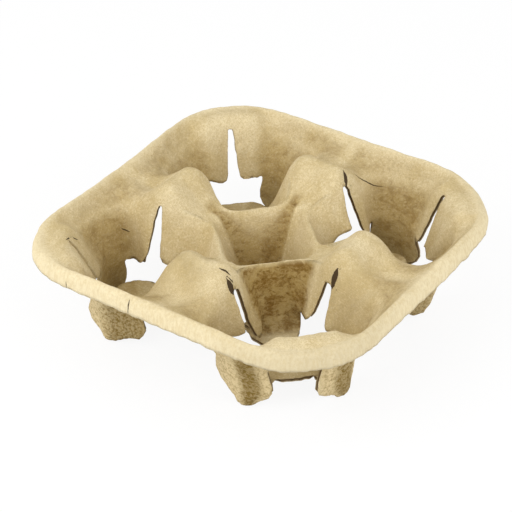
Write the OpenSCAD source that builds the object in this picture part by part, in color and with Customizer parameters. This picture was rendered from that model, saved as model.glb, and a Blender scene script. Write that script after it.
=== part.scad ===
// Four-cup carrier, one moulded sheet of paper pulp.
// Origin at the middle of the table surface, +Z up, millimetres.
// The sheet is worked out for one eighth of the tray and mirrored into the rest.

/* [Tray] */
// Width across the square tray
tray_w = 210; // [195:1:235]
// Height of the rim's crest above the table
rim_z = 62.5; // [58:0.5:70]
// Radius of the tray's corners in plan
corner_r = 47; // [38:1:58]
// Thickness of the moulded sheet
wall = 2.2; // [1.4:0.1:3]

/* [Rim] */
// Distance from the rim's crest out to the lip's free edge, along the sides
lip_out = 4.4; // [3:0.2:6]
// Height from the rim's crest down to the lip's free edge
lip_drop = 10.3; // [7:0.1:14]
// Radius of the crest's corners in plan
crest_corner_r = 46; // [42:0.5:49]

/* [Cups] */
// Distance between the centres of neighbouring cups
cup_pitch = 104; // [98:1:112]
// Radius of the cup's mouth at the flaps
mouth_r = 31; // [29:0.5:34]
// Radius of the cup's mouth at the foot pockets
pocket_mouth_r = 35.5; // [34:0.5:38]
// Depth of the mouth below the rim's crest
mouth_drop = 11.5; // [9:0.5:14]

/* [Floor] */
// Height of the cup floor above the table
floor_z = 15; // [10:0.5:19]
// Radius of the round floor towards the ridges
floor_r = 17.5; // [15:0.5:19]
// Radius of the round floor towards the tray's corner
floor_corner_r = 13.3; // [11:0.1:17]

/* [Feet] */
// Distance of the outer edge of a foot's sole from the cup's axis, towards the tray's side
foot_d = 25; // [23:0.5:27]
// Width of a foot's sole, from its inner to its outer edge
sole_w = 4; // [2.5:0.5:5]
// Length of a foot's sole along the tray's side
sole_l = 12; // [8:0.5:16]
// Distance of a sole's middle from the cup's axis, along the tray's side
sole_at = 10.5; // [8:0.5:13]
// Distance of a foot pocket's wall from the cup's axis, at the height of the flap tips
pocket_d = 29; // [27:0.5:31]
// Length of a foot pocket's wall along the tray's side
pocket_w = 30; // [25:0.5:34]
// Distance of a foot pocket's middle from the cup's axis, along the tray's side
pocket_at = 9; // [7:0.5:12]
// How far a pocket's wall stands out at its middle, where its two faces meet in a crease
prow = 5; // [2:0.5:7]

/* [Flaps] */
// Radius of a flap at its lower edge
flap_r = 21.6; // [19:0.5:25]
// Height of a flap's tip above the table
flap_z = 28; // [24:1:34]
// How much higher a corner flap's lower edge is beside the foot pocket
flap_rise = 2; // [0:0.5:6]

/* [Slits] */
// Width of a slit at the flap tips
slit_low_w = 8.8; // [5:0.2:11]
// Width of a slit at its top
slit_top_w = 2; // [1:0.2:4]
// Direction of the side slits, in degrees from the outward diagonal
slit_dir = 124; // [118:1:128]

/* [Ridges] */
// Distance of a ridge's hump from the tray's centre
hump_at = 60; // [55:1:66]
// Height of a ridge's hump above the table
hump_z = 67; // [58:1:76]
// Distance of the trough between the hump and the rim from the tray's centre
trough_at = 80; // [76:1:84]
// Height of the trough above the table
trough_z = 55; // [48:1:60]

/* [Centre well] */
// Distance of the well's lip from the tray's centre, along the diagonal
well_lip = 26.5; // [23:0.5:30]
// Height of the well's lip above the table
well_lip_z = 50; // [44:1:56]
// Half the width of the well's floor
well_floor = 11; // [8:0.5:14]
// Height of the well's floor above the table
well_floor_z = 8; // [5:0.5:16]
// Distance of the foot of the well's panel from the cup's axis
panel_r = 28; // [25:0.5:30]

/* [Hidden] */

half_w = tray_w / 2;
cup_at = cup_pitch / 2;
crest_at = half_w - lip_out;
arc_at = crest_at - crest_corner_r;
diagonal = cup_at * sqrt(2);

// Nominal angles from a slit's middle: the slit's edge, the flap, the pocket's edge and the pocket
slit_edge = 10;
pocket_edge = 40;
pocket_mid = 60;
// True headings of the pocket's two edges and its middle, and of the panel's edge
pocket_from = 38;
pocket_heading = 63;
pocket_to = 88;
panel_from = 158;
corner_fan = [0, slit_edge, 20, 30, pocket_edge, 46, 53, pocket_mid];
side_fan = [53, 46, pocket_edge, 32, 24, 17, slit_edge, 0];
inner_fan = [slit_edge, 18, 28, pocket_edge, 46, 53, pocket_mid];

// Columns of the grid: nominal angle, the slit's heading, the turning sense from it,
// and the angles from the slit to the pocket's edge and to its middle
columns = [
    for (a = corner_fan) [a, 0, 1, pocket_from, pocket_heading],
    for (a = side_fan) [a, slit_dir, -1, slit_dir - pocket_to, slit_dir - pocket_heading],
    for (a = inner_fan) [a, slit_dir, 1, panel_from - slit_dir, 180 - slit_dir]
];
last_col = len(columns) - 1;
panel_col = len(corner_fan) + len(side_fan);

// Stations along a column, from the cup's axis outwards
floor_station = 2;
flap_station = 8;
mouth_station = 11;
deck_steps = [0.1, 0.28, 0.5, 0.75, 1];
edge_station = mouth_station + len(deck_steps);
roll_steps = [20, 45, 65, 80, 90];
rim_station = edge_station + len(roll_steps);
corner_slit_top = mouth_station + 2;
side_slit_top = mouth_station + 1;

function mix(a, b, t) = a + (b - a) * t;
function ease(a, b, t) = mix(a, b, (1 - cos(180 * max(0, min(1, t)))) / 2);
function along(t, from, to) = (t - from) / (to - from);

// Column whose edge point is the middle of the tray's side
rim_col = len(corner_fan) + 4;
// Headings at which the crest's corner arc ends and at which a ray meets the middle of the side
arc_end = atan2(crest_at - cup_at, arc_at - cup_at) - 45;
side_mid = atan2(crest_at - cup_at, -cup_at) - 45;

// Heading of a column from the outward diagonal, with its slit's edge turned by the angle given
function fan_heading(j, edge) = let (
    c = columns[j],
    a = c[0],
    turned = a < slit_edge ? a * edge / slit_edge
        : a < pocket_edge ? mix(edge, c[3], along(a, slit_edge, pocket_edge))
        : mix(c[3], c[4], along(a, pocket_edge, pocket_mid))
) c[1] + c[2] * turned;
function heading(j) = fan_heading(j, slit_edge);
// The same at radius r, where the slit has the width w
function slit_heading(j, w, r) = fan_heading(j, asin(w / 2 / r));

// How far a column has left the flap for the pocket or the panel, from 0 to 1, by nominal angle
corner_recesses = [[26, 0], [34, 0.45], [41, 0.9], [48, 1]];
side_recesses = [[22, 0], [30, 0.45], [37, 0.9], [44, 1]];
inner_recesses = [[30, 0], [pocket_edge, 0.45], [46, 0.9], [53, 1]];
sinkings = [[30, 0], [pocket_edge, 0.8], [46, 1]];
panelings = [[slit_edge, 0], [18, 0.12], [28, 0.45], [pocket_edge, 0.9], [46, 1]];
function recess(j) = lookup(columns[j][0],
    j < len(corner_fan) ? corner_recesses : j < panel_col ? side_recesses : inner_recesses);
function sinking(j) = lookup(columns[j][0], sinkings);
function paneling(j) = j < panel_col ? 0 : lookup(columns[j][0], panelings);

// Radius at which a column meets a wall at distance d: the panel, or a wall along the tray's side
function panel_line(j, d) = d / cos(180 - heading(j));
function side_line(j, d) = d / cos(max(-60, min(60, heading(j) - 45)));

// Radius of the floor's edge
floor_radii = [
    [0, floor_corner_r],
    [22, floor_corner_r + 0.4],
    [pocket_from, mix(floor_corner_r, floor_r, 0.7)],
    [pocket_to, floor_r]
];
function floor_edge(j) = lookup(heading(j), floor_radii);

// Stations of a foot pocket from the floor to the flap's height: distance towards the tray's side,
// middle and half-length along it, how far the middle stands out, and height
foot_line = [
    [foot_d - sole_w, sole_at, sole_l * 0.46, 0, wall],
    [foot_d, sole_at, sole_l / 2, prow / 2, wall],
    [foot_d + wall / 2, sole_at, sole_l * 0.66, prow * 0.8, wall * 2.4],
    [mix(foot_d, pocket_d, 0.5), pocket_at, pocket_w / 2, prow, mix(wall, flap_z, 0.45)]
];
// Place along a pocket's wall, from -1 at its edge beside the ridge to 1 beside the corner flap
function pocket_place(j) = (j < len(corner_fan) ? 1 : -1) * along(columns[j][0], pocket_mid, pocket_edge);
function foot_point(j, k) = let (
    s = foot_line[k],
    place = pocket_place(j),
    z = k < 2 ? mix(floor_z, s[4], sinking(j)) : s[4] + (1 - sinking(j)) * wall
) [cup_at - s[1] + s[2] * place, cup_at + s[0] - s[3] * abs(place), z];

// Distance and height of the panel's stations
panel_steps = [0.3, 0.6, 0.85, 1];
panel_top_r = diagonal - well_lip - 2 * wall / 3;
panel_mid_r = mix(panel_r, panel_top_r, along(flap_z, floor_z, well_lip_z));
function panel_station(k) = k < len(panel_steps)
    ? [mix(floor_r, panel_r, panel_steps[k]), floor_z + (k == 3 ? wall / 2 : 0)]
    : [mix(panel_r, panel_mid_r, 0.5), mix(floor_z, flap_z, 0.5)];

// Radius and height of the flap's lower edge, and of the same height on the pocket and the panel
function lower_edge(j) = let (
    rise = j < len(corner_fan) ? flap_rise : 0,
    z = flap_z + rise * lookup(columns[j][0], [[slit_edge, 0], [pocket_edge, 1], [pocket_mid, 0]]),
    bow = prow * min(1, abs(pocket_place(j))),
    out = j < panel_col ? side_line(j, pocket_d - bow) : panel_line(j, panel_mid_r)
) [mix(flap_r, out, recess(j)), z];

// Height and radius of the cup's mouth by heading: rim, trough beside the ridge, hump;
// the mouth is this much lower than the trough and the hump
trough_drop = 5;
hump_drop = 8;
mouth_heights = [
    [70, rim_z - mouth_drop],
    [pocket_to, trough_z - trough_drop],
    [104, trough_z - trough_drop],
    [113, hump_z - hump_drop - 2],
    [slit_dir, hump_z - hump_drop]
];
mouth_radii = [
    [0, mouth_r - 0.4],
    [30, mouth_r + 0.8],
    [45, pocket_mouth_r - 1],
    [60, pocket_mouth_r],
    [75, pocket_mouth_r - 0.5],
    [90, pocket_mouth_r - 1],
    [104, mouth_r + 2],
    [slit_dir, mouth_r + 2]
];
function mouth(j) = [
    mix(lookup(heading(j), mouth_radii), panel_line(j, panel_top_r), paneling(j)),
    mix(lookup(heading(j), mouth_heights), well_lip_z - wall / 2, paneling(j))
];

// Radius and height of station i on the floor, the panel or the wall of a cup
function cup_profile(j, i) =
    i == 0 ? [0, floor_z]
    : i < floor_station ? [floor_edge(j) * 0.55, floor_z]
    : i == floor_station ? [floor_edge(j), floor_z]
    : i < flap_station ? let (s = panel_station(i - floor_station - 1)) [panel_line(j, s[0]), s[1]]
    : mix(lower_edge(j), mouth(j), along(i, flap_station, mouth_station));

// Width of a slit at station i
function slit_width(j, i) = let (top = j < len(corner_fan) ? corner_slit_top : side_slit_top)
    i <= flap_station ? slit_low_w : mix(slit_low_w, slit_top_w, min(1, along(i, flap_station, top)));

function cup_point(j, i) = j >= panel_col || i <= floor_station || i >= flap_station ? round_point(j, i)
    : i == floor_station + 1 ? (round_point(j, floor_station) + foot_point(j, 0)) / 2
    : foot_point(j, i - floor_station - 2);
function round_point(j, i) = let (
    s = cup_profile(j, i),
    on_floor = i <= floor_station,
    h = on_floor ? heading(j) : slit_heading(j, slit_width(j, i), max(s[0], flap_r)),
    side = cup_at + s[0] * sqrt(0.5) * (j == 0 ? 1 : -1)
) j == 0 || j == last_col ? [side, side, s[1]]
    : [cup_at + s[0] * cos(45 + h), cup_at + s[0] * sin(45 + h), s[1]];

// How steep the well's narrow walls at the ridges' ends are, and where a ridge meets the well's lip
well_end = 0.8;
ridge_end = well_lip / well_end;
// Height along the crest of a ridge, at distance y from the tray's centre
function ridge_z(y) = y < ridge_end ? well_z([0, y])
    : y < hump_at ? ease(well_lip_z, hump_z, along(y, ridge_end, hump_at))
    : y < trough_at ? ease(hump_z, trough_z, along(y, hump_at, trough_at))
    : ease(trough_z, rim_z, along(y, trough_at, crest_at));
function ridge_slope(y) = ridge_z(y + 0.5) - ridge_z(y - 0.5);

// Height of the centre well at plan point p: broad walls on the diagonals, narrow ones at the ridges' ends
function well_z(p) = let (d = max((p[0] + p[1]) * sqrt(0.5), p[1] * well_end))
    mix(well_floor_z, well_lip_z, max(0, min(1, along(d, well_floor, well_lip))));

// Plan of a rounded square at column j, from its half-width and its corner radius
function outline(j, at, corner) = let (
    h = heading(j) * side_mid / heading(rim_col),
    turn = 45 + 45 * min(1, h / arc_end),
    centre = at - corner,
    side_x = cup_at - (crest_at - cup_at) * tan(h - 45)
) h >= arc_end ? [j == rim_col ? 0 : side_x * centre / arc_at, at]
    : j == 0 ? [centre + corner * sqrt(0.5), centre + corner * sqrt(0.5)]
    : [centre + corner * cos(turn), centre + corner * sin(turn)];

// Plan and height of the outer end of a column: on the rim's crest, or on the ridge's middle
function ridge_y(j) = let (
    h = side_mid + (heading(j) - heading(rim_col)) * (180 - side_mid) / (180 - heading(rim_col))
) j == last_col ? 0 : cup_at + cup_at * tan(135 - h);
function edge_plan(j) = j <= rim_col ? outline(j, crest_at, crest_corner_r) : [0, ridge_y(j)];
function edge_z(j) = j <= rim_col ? rim_z : ridge_z(ridge_y(j));

// Share of the way from a cup's mouth to the column's outer end: on the panel, the stations follow
// the well's lip and the edge of its floor
function deck_share(j, k) = let (
    from = diagonal - panel_top_r,
    to = ridge_y(j) * sqrt(0.5),
    steps = len(deck_steps) - (to < well_floor ? 2 : 1),
    d = k > steps ? to : mix(well_lip, max(well_floor, to), k / steps)
) paneling(j) < 0.8 ? deck_steps[k] : along(d, from, to);

// Height on the deck: a cubic with a rise given at each end
function deck_curve(from, to, rise_from, rise_to, t) = from + (to - from) * (3 - 2 * t) * t * t
    + rise_from * t * (1 - t) * (1 - t) - rise_to * t * t * (1 - t);
// Slope at the mouth by heading: rim, trough beside the ridge, hump, panel; and at the rim's crest
mouth_slopes = [
    [0, 2.6], [30, 2.6], [60, 2], [75, 1.4], [90, 0.7], [104, 0.5], [113, 1.2],
    [slit_dir, 1.9], [140, 1.9], [150, 1], [panel_from, 0.4]
];
crest_slope = 0.2;
function deck_point(j, i) = let (
    t = deck_share(j, i - mouth_station - 1),
    from = cup_point(j, mouth_station),
    to = edge_plan(j),
    plan = mix([from[0], from[1]], to, t),
    run = norm(to - [from[0], from[1]]),
    rise = j <= rim_col ? crest_slope * run : ridge_slope(ridge_y(j)) * (to[1] - from[1]),
    z = deck_curve(from[2], edge_z(j), lookup(heading(j), mouth_slopes) * run, rise, t)
) [plan[0], plan[1], mix(z, well_z(plan), paneling(j))];

// Points of the rim and its lip, outside the crest: a quarter turn, squarer than an ellipse
roll_power = 0.9;
function rim_point(j, i) = let (
    turn = roll_steps[i - edge_station - 1],
    out = pow(sin(turn), roll_power),
    drop = lip_drop * (1 - pow(cos(turn), roll_power)),
    plan = mix(outline(j, crest_at, crest_corner_r), outline(j, half_w, corner_r), out)
) [plan[0], plan[1], rim_z - drop];

function sheet_point(j, i) = i <= mouth_station ? cup_point(j, i)
    : i <= edge_station ? deck_point(j, i)
    : rim_point(j, i);
function stations(j) = j <= rim_col ? rim_station : edge_station;

upper = [for (j = [0 : last_col]) [for (i = [0 : stations(j)]) sheet_point(j, i)]];

// Neighbours of a grid point, mirrored where the grid ends on a plane of symmetry
function swap_xy(p) = [p[1], p[0], p[2]];
function flip_x(p) = [-p[0], p[1], p[2]];
function beside(j, i, step) = let (k = j + step)
    k < 0 || k > last_col ? swap_xy(upper[j - step][i])
    : i > stations(k) ? flip_x(upper[j - step][i])
    : upper[k][i];
function beyond(j, i, step) = let (k = i + step)
    k > stations(j) ? (j > rim_col ? flip_x(upper[j][i - step]) : upper[j][i]) : upper[j][k];

function sheet_normal(j, i) = i == 0 ? [0, 0, 1] : let (
    across = beyond(j, i, 1) - beyond(j, i, -1),
    around = beside(j, i, 1) - beside(j, i, -1),
    n = cross(across, around)
) n / norm(n);

// Underside of the sheet: the soles are level with the table
function under_point(j, i) = let (
    p = upper[j][i],
    q = p - wall * sheet_normal(j, i),
    z = abs(p[2] - wall) < 0.01 ? 0 : max(q[2], 0),
    m = (q[0] + q[1]) / 2
) j == 0 || j == last_col ? (i == edge_station && j == last_col ? [0, 0, z] : [m, m, z])
    : p[0] == 0 ? [0, q[1], z]
    : [q[0], q[1], z];
under = [for (j = [0 : last_col]) [for (i = [0 : stations(j)]) under_point(j, i)]];

// Cells of the grid that hold pulp: the slits and the openings below the flaps are left out
function is_open(j, i) = let (
    low = min(columns[j][0], columns[j + 1][0]),
    high = max(columns[j][0], columns[j + 1][0]),
    top = j < len(corner_fan) ? corner_slit_top : side_slit_top
) i >= floor_station && i < flap_station ? low < pocket_edge
    : i >= flap_station && i < top ? high <= slit_edge
    : false;
function on_seam(j, i) = j < 0 || j >= last_col || i < 0 || (i >= edge_station && j >= rim_col);
function is_pulp(j, i) = on_seam(j, i) || (i < rim_station && !is_open(j, i));

// Numbering of the points of one eighth: upper side first, then the underside
function column_start(j) = j <= rim_col + 1 ? j * (rim_station + 1)
    : (rim_col + 1) * (rim_station + 1) + (j - rim_col - 1) * (edge_station + 1);
side_points = column_start(last_col + 1);
function up(j, i) = column_start(j) + i;
function dn(j, i) = side_points + up(j, i);

cells = [for (j = [0 : last_col - 1]) for (i = [0 : stations(j + 1) - 1]) if (!is_open(j, i)) [j, i]];
function edge_wall(p, q) = [up(q[0], q[1]), up(p[0], p[1]), dn(p[0], p[1]), dn(q[0], q[1])];
function cell_faces(j, i) = [
    i == 0 ? [up(j, 0), up(j + 1, 1), up(j, 1)] : [up(j, i), up(j + 1, i), up(j + 1, i + 1), up(j, i + 1)],
    i == 0 ? [dn(j, 1), dn(j + 1, 1), dn(j, 0)] : [dn(j, i + 1), dn(j + 1, i + 1), dn(j + 1, i), dn(j, i)],
    if (!is_pulp(j, i - 1)) edge_wall([j, i], [j + 1, i]),
    if (!is_pulp(j + 1, i)) edge_wall([j + 1, i], [j + 1, i + 1]),
    if (!is_pulp(j, i + 1)) edge_wall([j + 1, i + 1], [j, i + 1]),
    if (!is_pulp(j - 1, i)) edge_wall([j, i + 1], [j, i])
];
eighth_points = [for (c = upper) for (p = c) p, for (c = under) for (p = c) p];
function triangles(f) = [for (k = [2 : len(f) - 1]) [f[0], f[k - 1], f[k]]];
eighth_faces = [for (c = cells) for (f = cell_faces(c[0], c[1])) for (t = triangles(f)) t];

// The eight copies: swapped across the diagonal or not, and mirrored in X and Y
eighths = [for (swap = [false, true]) for (sx = [1, -1]) for (sy = [1, -1]) [swap, sx, sy]];
function placed(p, e) = let (q = e[0] ? swap_xy(p) : p) [e[1] * q[0], e[2] * q[1], q[2]];
function reversed(f) = [for (k = [len(f) - 1 : -1 : 0]) f[k]];
function turned_over(e) = (e[0] ? -1 : 1) * e[1] * e[2] < 0;

module carrier() {
    color("tan")
        polyhedron(
            points = [for (e = eighths) for (p = eighth_points) placed(p, e)],
            faces = [
                for (n = [0 : len(eighths) - 1])
                    for (f = eighth_faces)
                        let (g = [for (v = f) v + n * len(eighth_points)])
                            turned_over(eighths[n]) ? reversed(g) : g
            ]
        );
}

carrier();
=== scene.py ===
"""A moulded pulp carrier for four cups: one sheet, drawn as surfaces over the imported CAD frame."""
import math

import bpy
import numpy as np
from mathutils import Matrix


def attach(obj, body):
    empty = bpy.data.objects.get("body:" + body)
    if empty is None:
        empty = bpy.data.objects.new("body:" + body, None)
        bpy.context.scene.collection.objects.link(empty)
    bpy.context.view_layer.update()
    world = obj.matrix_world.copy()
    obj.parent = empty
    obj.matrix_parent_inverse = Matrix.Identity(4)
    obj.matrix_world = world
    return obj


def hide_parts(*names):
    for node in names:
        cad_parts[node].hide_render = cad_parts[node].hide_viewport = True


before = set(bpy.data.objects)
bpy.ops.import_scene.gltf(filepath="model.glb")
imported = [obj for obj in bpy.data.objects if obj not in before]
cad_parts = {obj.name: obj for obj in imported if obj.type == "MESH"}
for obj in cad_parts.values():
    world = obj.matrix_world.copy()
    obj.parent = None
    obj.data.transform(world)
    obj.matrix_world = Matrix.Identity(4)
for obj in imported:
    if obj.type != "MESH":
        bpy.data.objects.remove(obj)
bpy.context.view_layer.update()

# Sizes in millimetres, slopes and shares. They are the part's source's, but for the trough's height, the
# corner's sag, the sole's keel and the straight walls
TRAY_W, RIM_Z, CORNER_R, WALL = 210.0, 62.5, 47.0, 2.2
LIP_OUT, LIP_DROP, CREST_CORNER, RIM_SLOPE, RIM_POWER = 4.4, 10.3, 46.0, 0.2, 0.9
CORNER_SAG = 1.6
CUP_AT = 52.0
MOUTH_R, POCKET_MOUTH_R, MOUTH_DROP = 31.0, 35.5, 11.5
FLOOR_Z, FLOOR_R, FLOOR_CORNER_R = 15.0, 17.5, 13.3
FOOT_D, SOLE_W, SOLE_L, SOLE_AT, SOLE_KEEL = 25.0, 4.0, 12.0, 10.5, 2.0
POCKET_D, POCKET_W, POCKET_AT, PROW = 29.0, 30.0, 9.0, 5.0
FLAP_R, FLAP_Z, FLAP_RISE = 21.6, 28.0, 2.0
SLIT_DIR = 124.0
HUMP_AT, HUMP_Z, TROUGH_AT, TROUGH_Z = 60.0, 67.0, 80.0, 53.0
WELL_LIP, WELL_LIP_Z, WELL_FLOOR, WELL_FLOOR_Z, WELL_SOFT = 26.5, 50.0, 11.0, 8.0, 0.004
PANEL_R = 28.0
HALF_W = TRAY_W / 2
CREST_AT = HALF_W - LIP_OUT
ARC_AT = CREST_AT - CREST_CORNER
DIAGONAL = CUP_AT * math.sqrt(2)
PANEL_TOP_R = DIAGONAL - WELL_LIP - 2 * WALL / 3
RIDGE_START = WELL_LIP / 0.83
STRAIGHT_SHARE, STRAIGHT_MOUTH, LEAN_LEAST = 0.92, 0.45, 9

# Place around a cup in degrees: 0 corner slit, 60 foot pocket, 120 side slit, 180 towards the tray's centre
SLIT_EDGE, POCKET_EDGE, POCKET_MID, SIDE_SLIT, RIM_PLACE = 10.0, 40.0, 60.0, 120.0, 96.0
# Direction from the cup's axis at each place, in degrees from the outward diagonal
HEADINGS = [
    (0, 0), (10, 10), (40, 38), (60, 63), (80, 88), (110, 114), (120, SLIT_DIR), (130, 134), (160, 158),
    (180, 180)]
SIDE_MID = math.degrees(math.atan2(CREST_AT - CUP_AT, -CUP_AT)) - 45
ARC_END = math.degrees(math.atan2(CREST_AT - CUP_AT, ARC_AT - CUP_AT)) - 45

# Level up the sheet: 0 to 2 floor, 3 to 7 foot or panel, 8 flap's edge, 11 mouth, 16 crest, 17 lip's edge
FLOOR_LEVEL, FLAP_LEVEL, MOUTH_LEVEL, CREST_LEVEL = 2, 8, 11, 16

# Shares over the degrees from the nearest slit: pocket's depth, foot's depth, well's panel, flap's lift
RECESS_CORNER = [(26, 0), (34, 0.45), (41, 0.9), (48, 1)]
RECESS_SIDE = [(22, 0), (30, 0.45), (37, 0.9), (44, 1)]
RECESS_INNER = [(30, 0), (POCKET_EDGE, 0.45), (46, 0.9), (53, 1)]
SINK = [(30, 0), (POCKET_EDGE, 0.8), (46, 1)]
PANEL = [(SLIT_EDGE, 0), (18, 0.12), (28, 0.45), (POCKET_EDGE, 0.9), (46, 1)]
FLAP_LIFT = [(SLIT_EDGE, 0), (POCKET_EDGE, 1), (POCKET_MID, 0)]
BARE_FROM, BARE_OVER = 30, 6

# Sizes, slopes and shares over the direction from the cup's axis
FLOOR_EDGE = [
    (0, FLOOR_CORNER_R), (22, FLOOR_CORNER_R + 0.4), (40, 16.5), (88, FLOOR_R), (180, FLOOR_R)]
MOUTH_HEIGHT = [
    (70, RIM_Z - MOUTH_DROP), (90, TROUGH_Z - 5), (104, TROUGH_Z - 5), (113, HUMP_Z - 10),
    (SLIT_DIR, HUMP_Z - 8)]
MOUTH_RADIUS = [
    (0, MOUTH_R - 0.4), (30, MOUTH_R + 0.8), (45, POCKET_MOUTH_R - 1), (60, POCKET_MOUTH_R),
    (75, POCKET_MOUTH_R - 0.5), (90, POCKET_MOUTH_R - 1), (104, MOUTH_R + 2), (SLIT_DIR, MOUTH_R + 2)]
STRAIGHT = [(26, 0), (42, 1), (86, 1), (104, 0)]
STEEP = [
    (0, 2.6), (30, 2.6), (60, 2), (75, 1.4), (90, 0.7), (104, 0.5), (113, 1.2), (SLIT_DIR, 1.9), (140, 1.9),
    (150, 1), (158, 0.4)]
END_SLOPE = [(30, RIM_SLOPE), (88, 0.6)]
# Share of the rim's sag over the place
SAG = [(0, 1), (20, 0.9), (45, 0.3), (60, 0)]


def mix(start, end, share):
    """The start plus a share of the way to the end."""
    return start + (end - start) * share


def ease(share):
    """Smooth step from 0 to 1: half a cosine wave."""
    return (1 - np.cos(np.pi * np.clip(share, 0, 1))) / 2


def along(value, start, end):
    """Share of the way from start to end at which the value lies."""
    return (value - start) / (end - start)


def unit(v):
    """Vectors divided by their length."""
    return v / np.maximum(np.linalg.norm(v, axis=-1, keepdims=True), 1e-9)


def swap_xy(p):
    """Mirror image in the cell's diagonal: x and y change places."""
    return p[..., [1, 0, 2]]


def window(at, table):
    """Value from a table of knots, with straight lines between them."""
    return np.interp(at, *np.array(table, float).T)


def curve(at, table, width=4.0):
    """Smooth curve over a table of knots: its straight lines, averaged over a short window."""
    return np.mean([window(at + shift, table) for shift in np.linspace(-width, width, 9)], axis=0)


def slopes(knots):
    """Slopes at even knots along axis 1: harmonic mean of the steps either side, 0 at a turning point."""
    step = np.diff(knots, axis=1)
    before, after = step[:, :-1], step[:, 1:]
    same = before * after > 0
    middle = np.where(same, 2 * before * after / np.where(same, before + after, 1), 0)
    return np.concatenate([step[:, :1], middle, step[:, -1:]], 1)


def through(knots, at):
    """Curve through even knots along axis 1, at knot numbers: cubic pieces that meet the knots' values and
    slopes and never overshoot."""
    slope = slopes(knots)
    k = np.clip(np.floor(at).astype(int), 0, knots.shape[1] - 2)
    s = (at - k)[None, :, None]
    value = knots[:, k] * (1 + 2 * s) * (1 - s) ** 2 + knots[:, k + 1] * s * s * (3 - 2 * s)
    return value + slope[:, k] * s * (1 - s) ** 2 - slope[:, k + 1] * s * s * (1 - s)


def heading(place):
    """Direction from the cup's axis, in degrees from the outward diagonal: straight lines between knots."""
    return window(place, HEADINGS)


def polar(radius, direction, z):
    """Points at a radius from the cup's axis, by the cosine and sine of the direction turned by 45."""
    turn = np.radians(45 + direction)
    x = CUP_AT + radius * np.cos(turn)
    y = CUP_AT + radius * np.sin(turn)
    return np.stack([x, y, z * np.ones_like(direction)], -1)


def well_height(x, y):
    """Height of the centre well: a square pit on the diagonals, its corners rounded by a tenth-power norm,
    its wall a straight line with soft ends."""
    u, v = np.abs(x + y) * math.sqrt(0.5), np.abs(x - y) * math.sqrt(0.5)
    far = (u ** 10 + v ** 10 + (0.8 * np.abs(x)) ** 10 + (0.8 * np.abs(y)) ** 10) ** 0.1
    t = np.clip(along(far, WELL_FLOOR, WELL_LIP), -0.2, 1.2)
    soft = 0.5 * (np.sqrt(t * t + WELL_SOFT) - np.sqrt((t - 1) ** 2 + WELL_SOFT)) + 0.5
    return mix(WELL_FLOOR_Z, WELL_LIP_Z, soft)


def ridge_height(y):
    """Height along a ridge: half cosine waves from the well's lip to the hump and the trough, then a
    quarter wave to the rim."""
    up = mix(WELL_LIP_Z, HUMP_Z, ease(along(y, RIDGE_START, HUMP_AT)))
    down = mix(HUMP_Z, TROUGH_Z, ease(along(y, HUMP_AT, TROUGH_AT)))
    quarter = 1 - np.cos(np.pi / 2 * np.clip(along(y, TROUGH_AT, CREST_AT), 0, 1))
    rim = mix(TROUGH_Z, RIM_Z, quarter)
    z = np.where(y < HUMP_AT, up, np.where(y < TROUGH_AT, down, rim))
    return np.where(y < RIDGE_START, well_height(0 * y, y), z)


def outline(place, at, corner):
    """Plan of a rounded square of half-width at: a corner arc from the diagonal, then a straight side."""
    h = heading(place) * SIDE_MID / heading(RIM_PLACE)
    turn = np.radians(45 + 45 * np.clip(h / ARC_END, 0, 1))
    arc = at - corner + corner * np.stack([np.cos(turn), np.sin(turn)], -1)
    side_x = CUP_AT - (CREST_AT - CUP_AT) * np.tan(np.radians(np.clip(h - 45, -60, 80)))
    flat = np.stack([side_x / ARC_AT * (at - corner), np.full_like(side_x, at)], -1)
    return np.where((h < ARC_END)[:, None], arc, flat)


def panel_knots(direction, line):
    """Five knots on the well's side of a cup: along the floor, then up a flat panel, at radius by line."""
    steps = [(mix(FLOOR_R, PANEL_R, t), FLOOR_Z) for t in (0.3, 0.6, 0.85)]
    steps.append((PANEL_R, FLOOR_Z + WALL / 2))
    steps.append((mix(PANEL_R, PANEL_MID_R, 0.5), mix(FLOOR_Z, FLAP_Z, 0.5)))
    return [polar(radius * line, direction, z) for radius, z in steps]


def foot_knots(direction, apart, across, back, floor_r):
    """Five knots from the floor's edge over the foot's sole and up its pocket: lines across the pocket, set
    back beside its middle like a prow. Near a slit they are an eased strip from the floor to the flap."""
    sink = curve(apart, SINK)
    sole_z = mix(FLOOR_Z, WALL, sink) + SOLE_KEEL * np.minimum(back, 1) ** 2
    above = (1 - sink) * WALL
    # Each line: distance out from the cup, its middle, half its length, how far its ends lie back, height
    lines = [
        (FOOT_D - SOLE_W, SOLE_AT, SOLE_L * 0.46, 0, sole_z),
        (FOOT_D, SOLE_AT, SOLE_L / 2, 2.5, sole_z),
        (FOOT_D + WALL / 2, SOLE_AT, SOLE_L * 0.66, 4, WALL * 2.4 + above),
        (mix(FOOT_D, POCKET_D, 0.5), POCKET_AT, POCKET_W / 2, PROW, mix(WALL, FLAP_Z, 0.45) + above),
    ]
    feet = [
        np.stack([CUP_AT - at + half * across, CUP_AT + out - deep * back, z], -1)
        for out, at, half, deep, z in lines]
    feet.insert(0, (polar(floor_r, direction, FLOOR_Z) + feet[0]) / 2)
    bare = np.clip((BARE_FROM - apart) / BARE_OVER, 0, 1)[:, None]
    strip = [
        polar(mix(floor_r, FLAP_R, k / 6), direction, mix(FLOOR_Z, FLAP_Z, ease((k - 1) / 5)))
        for k in range(1, 6)]
    return [mix(foot, plain, bare) for foot, plain in zip(feet, strip)]


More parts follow.
